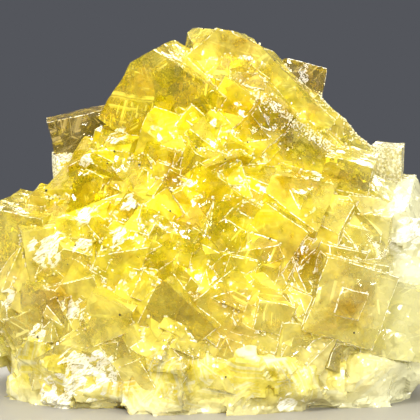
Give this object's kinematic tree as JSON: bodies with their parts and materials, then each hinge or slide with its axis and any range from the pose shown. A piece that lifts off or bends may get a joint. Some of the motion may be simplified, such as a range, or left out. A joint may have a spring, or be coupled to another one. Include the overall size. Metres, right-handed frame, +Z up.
{
  "type": "fluorite specimen",
  "caption": "Mound-shaped fluorite specimen: intergrown clear yellow cubic crystals and broken facets on a pale massive base, resting on a flat underside.",
  "frame": {"origin": "centre of the bounding box in plan, on the surface that the specimen rests on", "axes": "+X along its length to the right of the display side, -Y towards the viewer of the display side, +Z up"},
  "size_m": [0.065, 0.0384, 0.0488],
  "materials": {
    "yellow_fluorite": "clear yellow crystal with bright cleavage faces, frosted edges and cloudy fractured inside",
    "pale_massive_fluorite": "cloudy pale yellow to white massive fluorite, broken along cleavage, satin"
  },
  "bodies": {
    "root": {"crystal_cluster": "yellow_fluorite", "pale_base": "pale_massive_fluorite"}
  },
  "joints": []
}
